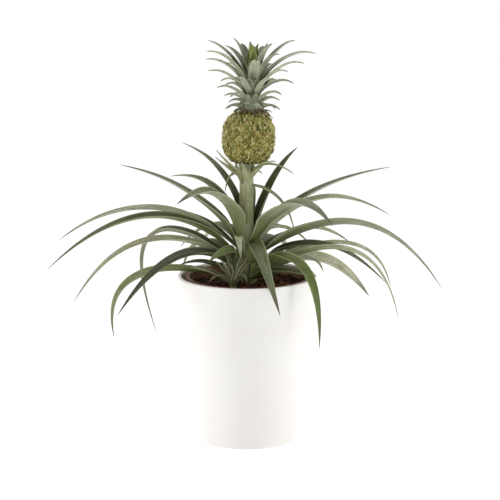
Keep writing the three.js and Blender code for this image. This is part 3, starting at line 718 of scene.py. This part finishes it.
# A ball of 20 triangles, which the crumbs are dented copies of. Its points are in three rectangles.
GOLDEN = (1 + math.sqrt(5)) / 2
RECTANGLE = [(-1, GOLDEN), (1, GOLDEN), (-1, -GOLDEN), (1, -GOLDEN)]
BALL_POINTS = unit(np.array([np.roll((a, b, 0), turn) for turn in range(3) for a, b in RECTANGLE]))
BALL_FACES = [
    (0, 11, 5), (0, 5, 1), (0, 1, 7), (0, 7, 10), (0, 10, 11), (1, 5, 9), (5, 11, 4), (11, 10, 2), (10, 7, 6),
    (7, 1, 8), (3, 9, 4), (3, 4, 2), (3, 2, 6), (3, 6, 8), (3, 8, 9), (4, 9, 5), (2, 4, 11), (6, 2, 10),
    (8, 6, 7), (9, 8, 1),
]
SOIL_REACH = nursery_radius(SOIL.edge_height) - SOIL_MARGIN


def soil_spot():
    """A random place on the soil, as x and y from the nursery pot's own axis."""
    distance = SOIL_REACH * math.sqrt(RNG.uniform(0.02, 1))
    azimuth = RNG.uniform(0, 2 * math.pi)
    return distance * math.cos(azimuth), distance * math.sin(azimuth)


def soil_crumbs():
    """Loose irregular crumbs of peat on the soil."""
    crumbs = []
    for _ in range(CRUMBS.count):
        x, y = soil_spot()
        size = RNG.uniform(*CRUMBS.size)
        stretch = RNG.uniform(*CRUMBS.stretch, 3) * size
        dents = RNG.uniform(*CRUMBS.dents, (len(BALL_POINTS), 1))
        centre = np.array((x, y, bumpy_height(x, y) + CRUMBS.lift * size))
        crumbs.append(Shape(BALL_POINTS * dents * stretch + centre, BALL_FACES, tone=RNG.uniform(0, 1)))
    material = peat_material("peat_crumbs", srgb(32, 20, 13), srgb(120, 68, 42))
    piece("soil_crumbs", joined(crumbs).moved(NURSERY_SHIFT), material, "peat", sharp=35)


def strand(points, radius, tone):
    """A thin three-sided thread along some points, closed at both ends."""
    points = np.asarray(points, float)
    along = unit(np.gradient(points, axis=0))
    side = unit(np.cross(along, (0.3, 0.2, 0.93)))
    other = np.cross(along, side)
    angles = [k * 2 * math.pi / 3 for k in range(3)]
    edges = [points + radius * (math.cos(angle) * side + math.sin(angle) * other) for angle in angles]
    vertices = np.stack(edges, axis=1).reshape(-1, 3)
    faces = [(2, 1, 0), *ring_faces(len(points), 3)]
    last = 3 * (len(points) - 1)
    faces.append((last, last + 1, last + 2))
    return Shape(vertices, faces, tone=tone)


def fibre_path(x, y):
    """Points of a fibre that wanders over the soil from x and y, until it would leave the soil."""
    heading = RNG.uniform(0, 2 * math.pi)
    turn = RNG.normal(0, FIBRES.turn)
    step = RNG.uniform(*FIBRES.step)
    lift = RNG.uniform(*FIBRES.lift)
    path = []
    for k in range(FIBRES.steps):
        if math.hypot(x, y) > SOIL_REACH:
            break
        arch = lift * math.sin(math.pi * k / (FIBRES.steps - 1))
        path.append((x, y, bumpy_height(x, y) + FIBRES.clearance + arch))
        x += step * math.cos(heading)
        y += step * math.sin(heading)
        heading += turn + RNG.normal(0, FIBRES.wander)
    return path


def soil_fibres():
    """Coco fibres and dry rootlets that lie on the soil. Every second one lies at the front right."""
    fibres = []
    for i in range(FIBRES.count):
        x, y = soil_spot()
        at_front = i % 2 == 0
        if at_front:
            x, y, _ = polar(RNG.normal(*FIBRES.front_azimuth), RNG.uniform(*FIBRES.front_distance), 0)
        path = fibre_path(x, y)
        if len(path) > 3:
            radius = RNG.uniform(*FIBRES.radius)
            fibres.append(strand(path, radius, RNG.uniform(0, 0.6 if at_front else 1)))
    piece("soil_fibres", joined(fibres).moved(NURSERY_SHIFT), fibre_material(), "peat")


# -------- stem, leaves and offset shoot


def stem_radius(height):
    heights, radii = zip(*STEM_PROFILE)
    return float(np.interp(height, heights, radii))


def stalk_ribs(azimuths, height):
    """The radius that the stalk's shallow ribs add."""
    return 0.22 * np.sin(9 * azimuths + 0.05 * height) + 0.1 * np.sin(23 * azimuths)


def stalk():
    heights = np.linspace(STEM_PROFILE[0][0], STEM_PROFILE[-1][0], 60)
    profile = [(0, heights[0])] + [(stem_radius(h), h) for h in heights] + [(0, heights[-1])]
    trunk = lathe(profile, 96, stalk_ribs)
    # The trunk's marks make it look like the under face of a leaf, well away from its margin, root and tip.
    half_turns = np.arctan2(trunk.points[:, 1], trunk.points[:, 0]) / math.pi
    share = (trunk.points[:, 2] - heights[0]) / (heights[-1] - heights[0])
    trunk.marks = np.stack([0.8 * half_turns, 0.25 + 0.6 * share, np.zeros(len(share))], axis=1)
    bracts = []
    for azimuth, root_height, mid, tip, width in STALK_LEAVES + FOOT_BRACTS:
        root = (azimuth, stem_radius(root_height) - STALK_ROOT_DEPTH, root_height)
        bracts.append(polar_blade(root, (azimuth, *mid), tip, width, **STALK_BLADE))
    material = leaf_material("stalk", "stalk", margin=0.8)
    piece("fruit_stalk", joined([trunk, *bracts]), material, "stalk", "stem")


def rosette_leaf(index, materials):
    azimuth, mid, tip, width, twist, tone = LEAVES[index]
    root_height = lerp(*LEAF_ROOTS, index / (len(LEAVES) - 1))
    seat = stem_radius(root_height) + GAP
    # The root is a chord of the stem's circle, and half of it takes this angle.
    half_chord = math.asin(width * float(leaf_taper(0.0)) / 4 / seat)
    root = (azimuth, seat / math.cos(half_chord), root_height)
    fold = leaf_fold(math.degrees(half_chord), FLATTER_LEAVES.get(index + 1, 1))
    shape = polar_blade(root, (azimuth, *mid), tip, width, fold, twist, **LEAF_BLADE)
    number = f"{index + 1:02d}"
    piece(f"rosette_leaf_{number}", shape, materials[tone], "leaf", f"leaf_{number}")


def shoot_straps():
    """The thin straps that stand in the middle of the shoot, from its own axis."""
    ground = SHOOT.ground
    straps = []
    for azimuth, mid_distance, tip_distance, height in SHOOT_STRAPS:
        root = (azimuth, STRAP.root_distance, ground - STRAP.root_depth)
        mid = (azimuth, mid_distance, ground + STRAP.middle * height)
        tip = (azimuth, tip_distance, ground + height)
        width, twist = RNG.uniform(*STRAP.width), RNG.normal(0, STRAP.twist)
        straps.append(polar_blade(root, mid, tip, width, twist=twist, **STRAP_BLADE))
    return joined(straps)


def offset_shoot():
    foot, ground, top = SHOOT.foot, SHOOT.ground, SHOOT.top
    corners = [(SHOOT.foot_radius, foot), (SHOOT.radius, ground), (SHOOT.top_radius, top)]
    base = lathe([(0, foot), *corners, (0, top)], 24)
    lowest, highest = ground + SHOOT_ROOTS.end_room, top - SHOOT_ROOTS.end_room
    leaves = []
    for i, (azimuth, mid, tip, width) in enumerate(SHOOT_LEAVES):
        root = (azimuth, SHOOT_ROOTS.distance, lerp(lowest, highest, i / (len(SHOOT_LEAVES) - 1)))
        mid, tip = (azimuth, mid[0], ground + mid[1]), (*tip[:2], ground + tip[2])
        leaves.append(polar_blade(root, mid, tip, width, **SHOOT_BLADE))
    place = (SHOOT.x, SHOOT.y, 0)
    shape = joined([base, *leaves]).moved(place)
    straps = shoot_straps().moved(place)
    piece("shoot_straps", straps, leaf_material("strap", "strap", margin=1.0, rim=0.5), "leaf")
    piece("shoot", shape, leaf_material("shoot", "shoot", margin=0.9), "leaf", "offset_shoot")


# -------- fruit

FRUITLETS_AROUND = 13
FRUITLET_ROWS = 7  # and as many rows between them, shifted by half a cell
ROW_TWIST = 0.13  # cells that the net turns from one row to the next
FRUIT_STEPS = 18  # grid steps for each cell of the net
SEAT_SHARE = 0.11  # share of the height that is bare at each end
FADE_SHARE = 0.06
FRUITLET = Sizes(
    dome=1.7, squareness=2.4, boss=0.8, boss_width=0.22, dip=0.4, dip_place=0.42, dip_width=0.13, sink=0.2
)
SKIN_LUMPS = [(0.42, 1.0), (1.0, 0.7)]  # how many there are in a millimetre, and their height
# Bracts of a fruitlet: scatter, lean and rises in cells of the net, the others in millimetres and degrees.
FRUIT_BRACTS = Sizes(
    each=5, scatter=0.2, lean=0.2, root_rise=-0.16, root_out=0.6, mid_rise=0.02, mid_out=(1.9, 2.8),
    tip_rise=(0.08, 0.3), tip_out=1.6, curl=(0.2, 2.0), width=(1.2, 3.0), fold=(10, 40), twist=35,
)


def fruit_radius(share):
    """The fruit's radius at a share of its height."""
    off = np.minimum(1, np.abs(2 * share - 1))
    return FRUIT.radius * (1 - off ** FRUIT.flatness) ** FRUIT.roundness


def even_shares(places):
    """Shares of the fruit's height at places, from 0 to 1, along the curve of its side."""
    shares = np.linspace(0, 1, 4001)
    steps = np.hypot(np.diff(fruit_radius(shares)), np.diff(shares) * FRUIT.height)
    lengths = np.concatenate([[0], np.cumsum(steps)])
    return np.interp(np.asarray(places) * lengths[-1], lengths, shares)


def fruit_point(u, v, out):
    """The point on the fruit u cells around it and v cells up it, raised by out along its normal."""
    share = even_shares(np.clip(np.asarray(v) / FRUITLET_ROWS, 0.002, 0.998))
    slope = (fruit_radius(share + 0.001) - fruit_radius(share - 0.001)) / (0.002 * FRUIT.height)
    tilt = np.arctan(slope)
    radius = fruit_radius(share) + out * np.cos(tilt)
    azimuth = 2 * math.pi * (u + ROW_TWIST * v) / FRUITLETS_AROUND
    height = share * FRUIT.height - out * np.sin(tilt)
    return np.stack([radius * np.cos(azimuth), radius * np.sin(azimuth), height], axis=-1)


def fruit_fade(v):
    """0 at the fruit's two bare ends, and 1 where its fruitlets have their full depth."""
    from_end = np.minimum(v, FRUITLET_ROWS - v) / FRUITLET_ROWS
    return np.clip((from_end - SEAT_SHARE) / FADE_SHARE, 0, 1)


def off_centre(x):
    """0 at a whole number, and 1 half-way between two."""
    return np.abs(x - np.round(x)) * 2


def bell(x, place, width):
    """A bell curve with a height of 1."""
    return np.exp(-(((x - place) / width) ** 2))


def fruit_body():
    columns, rows = FRUITLETS_AROUND * FRUIT_STEPS, FRUITLET_ROWS * FRUIT_STEPS
    u, v = np.meshgrid(np.arange(columns) / FRUIT_STEPS, np.arange(1, rows) / FRUIT_STEPS)
    # The fruitlets' diamonds are the cells of a net in u + v and u - v. Each has a scatter from a sine hash.
    cell_a, cell_b = np.round(u + v), np.mod(np.round(u - v), 2 * FRUITLETS_AROUND)
    away = np.maximum(off_centre(u + v), off_centre(u - v))
    scatter = np.abs(np.sin(cell_a * 12.9898 + cell_b * 78.233) * 43758.5) % 1
    dome = FRUITLET.dome * np.sqrt(np.maximum(0, 1 - away ** FRUITLET.squareness))
    dome = dome * (0.7 + 0.6 * scatter)
    boss = FRUITLET.boss * bell(away, 0, FRUITLET.boss_width)
    boss = boss - FRUITLET.dip * bell(away, FRUITLET.dip_place, FRUITLET.dip_width)
    smooth_skin = fruit_point(u, v, np.zeros_like(u)).reshape(-1, 3)
    rough = [sum(h * noise.noise(Vector(p) * density) for density, h in SKIN_LUMPS) for p in smooth_skin]
    out = fruit_fade(v) * (dome + boss + np.array(rough).reshape(u.shape)) - FRUITLET.sink
    points = np.concatenate([fruit_point(u, v, out).reshape(-1, 3), [(0, 0, 0), (0, 0, FRUIT.height)]])
    marks = np.stack([away, v / FRUITLET_ROWS, bell(away, 0, 0.25)], axis=-1).reshape(-1, 3)
    marks = np.concatenate([marks, [(1, 0, 0), (1, 1, 0)]])
    tones = np.concatenate([scatter.ravel(), [0.5, 0.5]])
    bottom = len(points) - 2
    faces = ring_faces(rows - 1, columns) + fan(0, columns, bottom, up=False)
    faces += fan((rows - 2) * columns, columns, bottom + 1)
    return Shape(points, faces, marks, tones)


def fruit_bract(u, v):
    """One of the dry bracts of the fruitlet at u and v, curled up over it."""
    sizes = FRUIT_BRACTS
    du, dv = RNG.normal(0, sizes.scatter, 2)
    lean, curl = RNG.normal(0, sizes.lean), RNG.uniform(*sizes.curl)
    root = fruit_point(u + du, v + dv + sizes.root_rise, sizes.root_out)
    mid = fruit_point(u + du + lean / 2, v + dv + sizes.mid_rise, RNG.uniform(*sizes.mid_out))
    tip = fruit_point(u + du + lean, v + dv + RNG.uniform(*sizes.tip_rise), sizes.tip_out + curl)
    azimuth = math.degrees(math.atan2(mid[1], mid[0]))
    width, fold = RNG.uniform(*sizes.width), RNG.uniform(*sizes.fold)
    twist = RNG.normal(0, sizes.twist)
    return blade(root, mid, tip, (azimuth, azimuth), width, fold, twist, **FRUIT_BLADE)


def fruit_bracts():
    """The bracts of each fruitlet, apart from the fruit's bare ends."""
    bracts = []
    for half_row in range(2 * FRUITLET_ROWS):
        v = half_row / 2
        if fruit_fade(v) < 0.5:
            continue
        for k in range(FRUITLETS_AROUND):
            bracts.extend(fruit_bract(k + v % 1, v) for _ in range(FRUIT_BRACTS.each))
    return joined(bracts)


def bract_material():
    """Dry bracts, brown at the foot and straw coloured at the tip."""
    material, tree, shader = start_material("fruit_bract")
    across, along, _, tone = marks_of(tree)
    fine = noisy(vector_of(times(across, 6), along, tone), 3, 2)
    foot = mixed(ranged(tone, 0.72, 1), srgb(118, 122, 46), srgb(172, 118, 60))
    end = mixed(tone, srgb(174, 170, 92), srgb(214, 204, 152))
    colour = mixed(ranged(along, 0.15, 0.85), foot, end)
    colour = mixed(ranged(fine, 0.45, 0.7, 0, 0.5), colour, srgb(104, 82, 52))
    surface(shader, colour, fine, (0.5, 0.75))
    return material


def fruit():
    place = (FRUIT.shift, 0, FRUIT.bottom)
    body = fruit_body().moved(place, FRUIT.lean)
    piece("fruit_flesh", body, fruit_material(), "fruit_skin", "fruit", sharp=180)
    bracts = fruit_bracts().moved(place, FRUIT.lean)
    piece("fruit_bracts", bracts, bract_material(), "fruit_skin")


# -------- crown


def in_crown(shapes):
    """Shapes made from the crown's own foot, as one in their place."""
    return joined(shapes).moved((CROWN.shift, 0, CROWN.bottom), CROWN.lean)


def crown():
    base, top, height = CROWN.base_radius, CROWN.top_radius, CROWN.core_height
    core = lathe([(0, 0), (base, 0), (top, height), (0, height)], 32)
    core.marks[:, 1] = 0.5
    lowest, highest = CROWN_ROOTS.lowest, height - CROWN_ROOTS.below_top
    leaves = []
    for i, (azimuth, distance, tip_height, bow, width) in enumerate(CROWN_LEAVES):
        root_height = lerp(lowest, highest, i / (len(CROWN_LEAVES) - 1))
        core_radius = lerp(base, top, root_height / height)
        root = polar(azimuth, core_radius - CROWN_ROOTS.depth, root_height)
        tip = polar(azimuth, distance, tip_height)
        mid = (root + tip) / 2 + np.array((0, 0, bow))
        leaves.append(blade(root, mid, tip, (azimuth, azimuth), width, **CROWN_BLADE))
    material = leaf_material("crown_leaf", "crown", scurf=0.6)
    piece("crown_leaves", in_crown([core, *leaves]), material, "crown_leaf", "crown")


def dry_bracts():
    """Dry bracts that hang and stand out under the crown."""
    sizes = DRY_BRACTS
    bracts = []
    for k in range(sizes.count):
        azimuth = k * sizes.turn + RNG.uniform(-sizes.scatter, sizes.scatter)
        distance, height = RNG.uniform(*sizes.distance), RNG.uniform(*sizes.height)
        root = polar(azimuth, CROWN.base_radius - sizes.root_depth, RNG.uniform(*sizes.root_height))
        tip_azimuth = azimuth + RNG.uniform(-sizes.tip_scatter, sizes.tip_scatter)
        tip = polar(tip_azimuth, distance, height)
        mid = (root + tip) / 2 + np.array((0, 0, RNG.uniform(*sizes.bow)))
        width = RNG.uniform(*sizes.width)
        bracts.append(blade(root, mid, tip, (azimuth, azimuth), width, **DRY_BLADE))
    piece("crown_bracts", in_crown(bracts), leaf_material("dry_bract", "dry", scurf=0.2), "crown_leaf")


def crown_heart():
    foot, height = HEART.foot, HEART.height
    leaves = []
    for i, azimuth in enumerate(HEART.azimuths):
        root = (azimuth, HEART.root_distance, foot)
        mid = (azimuth, HEART.mid_distance, foot + height / 2)
        tip = (azimuth, HEART_TIPS.distance, foot + height - HEART_TIPS.step * i)
        leaves.append(polar_blade(root, mid, tip, HEART_WIDTH, **HEART_BLADE))
    material = leaf_material("heart", "heart", scurf=0.05)
    piece("heart_leaves", in_crown(leaves), material, "young_leaf", "crown_heart")


# -------- stage

CAMERA = Sizes(place=(3.31, -1173.56, 411.59), pitch=10.98, lens=88.7, sensor=36)
DIM_SIDE = 277  # azimuth of the darkest part of the white surroundings, behind the camera
LIGHT_FROM_FRONT = 0.06  # their strength there
LIGHT_FROM_BACK = 0.76  # and from the back round to the sides
BRIGHT_FROM = -0.25  # the sides begin where a direction's cosine with the dim side's is this
HORIZON = (0.05, 0.12)  # heights of a direction that is fully white, and of one that may be dim
# Large soft lights at the left, at the right and above: place in metres, diameter and watts.
SOFT_LIGHTS = {
    "light_left": ((-1.5, -0.25, 0.6), 1.0, 8.5),
    "light_right": ((1.5, -0.25, 0.6), 1.0, 8.5),
    "light_above": ((0, -0.35, 1.7), 1.2, 5),
}
LIT_PLACE = (0, 0, 0.2)  # what they face, in metres
FLOOR = Sizes(half_side=30.0, white=0.6, roughness=0.9, emission=0.64)


def camera():
    data = bpy.data.cameras.new("camera")
    data.lens = CAMERA.lens
    data.sensor_width = CAMERA.sensor
    made = new_object("camera", data)
    made.location = [length * MM for length in CAMERA.place]
    made.rotation_euler = (math.radians(90 - CAMERA.pitch), 0, 0)
    bpy.context.scene.camera = made


def surroundings():
    """White all round, brighter behind and at the sides than in front, and fully white at the horizon."""
    world = bpy.data.worlds.new("studio")
    bpy.context.scene.world = world
    world.use_nodes = True
    tree = world.node_tree
    direction = node("ShaderNodeTexCoord", {}, 0, tree)
    dim = tuple(map(float, polar(DIM_SIDE, 1, 0)))
    facing = node("ShaderNodeVectorMath", {0: direction, 1: dim}, output=1, operation="DOT_PRODUCT")
    above = ranged(facing, 1, BRIGHT_FROM, LIGHT_FROM_FRONT, LIGHT_FROM_BACK)
    near_horizon = ranged(parts_of(direction)[2], HORIZON[1], HORIZON[0])
    background = tree.nodes["Background"]
    tree.links.new(maths("MAXIMUM", above, near_horizon), background.inputs["Strength"])
    background.inputs["Color"].default_value = (1, 1, 1, 1)


def soft_light(name, place, size, power):
    """A round light that faces the plant."""
    data = bpy.data.lights.new(name, "AREA")
    data.shape = "DISK"
    data.size = size
    data.energy = power
    made = new_object(name, data)
    made.location = place
    made.rotation_euler = (Vector(LIT_PLACE) - made.location).to_track_quat("-Z", "Y").to_euler()


def floor():
    """A white floor that glows a little, so that it is as white as the photograph's ground."""
    half = FLOOR.half_side
    corners = [(-half, -half, 0), (half, -half, 0), (half, half, 0), (-half, half, 0)]
    mesh = bpy.data.meshes.new("floor")
    mesh.from_pydata(corners, [], [(0, 1, 2, 3)])
    material, _, shader = start_material("floor")
    shader.inputs["Base Color"].default_value = (FLOOR.white, FLOOR.white, FLOOR.white, 1)
    shader.inputs["Roughness"].default_value = FLOOR.roughness
    shader.inputs["Emission Color"].default_value = (1, 1, 1, 1)
    shader.inputs["Emission Strength"].default_value = FLOOR.emission
    mesh.materials.append(material)
    made = new_object("floor", mesh)


# -------- the whole plant

camera()
surroundings()
for light_name, light_setup in SOFT_LIGHTS.items():
    soft_light(light_name, *light_setup)
floor()

cover_pot()
nursery_pot()
soil_block()
soil_crumbs()
soil_fibres()
stalk()
leaf_materials = {tone: leaf_material(f"leaf_{tone}", tone, *look) for tone, look in LEAF_LOOKS.items()}
for leaf_index in range(len(LEAVES)):
    rosette_leaf(leaf_index, leaf_materials)
offset_shoot()
fruit()
crown()
dry_bracts()
crown_heart()

bpy.context.scene.view_settings.view_transform = "Standard"
